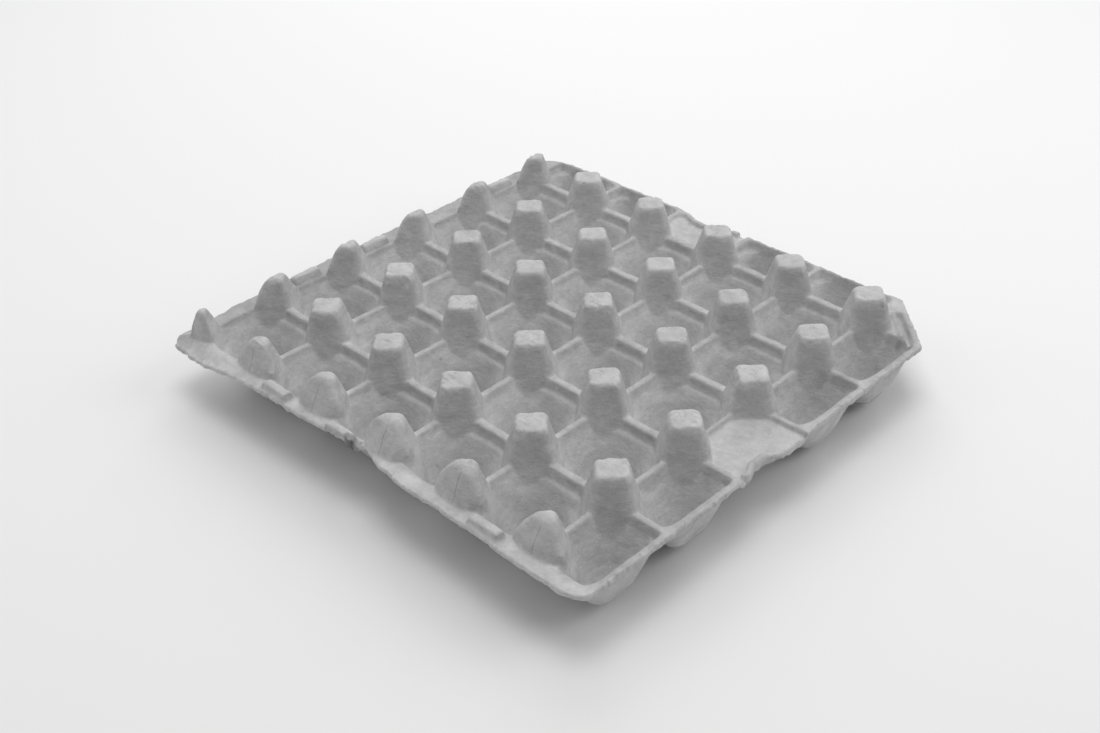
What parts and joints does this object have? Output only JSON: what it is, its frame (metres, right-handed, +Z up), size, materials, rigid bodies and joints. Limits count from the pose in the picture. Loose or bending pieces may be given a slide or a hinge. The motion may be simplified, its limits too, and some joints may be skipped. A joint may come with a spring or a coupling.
{
  "type": "pulp egg tray",
  "caption": "Square moulded-pulp tray of round cups between hollow towers, with straight ridges, two flanged sides, thumb plates and a cut corner.",
  "frame": {"origin": "middle of the tray's outline, on the plane that the cup bottoms stand on", "axes": "+Z up through the tower tops; +X and +Y towards the two plain sides, which meet at the cut corner; the flanged sides are at -X and -Y"},
  "size_m": [0.297, 0.2904, 0.0486],
  "materials": {
    "pulp": "grey moulded pulp, matt, fibrous, with small pits and a rough cut edge"
  },
  "bodies": {
    "root": {"egg_tray": "pulp"}
  },
  "joints": []
}
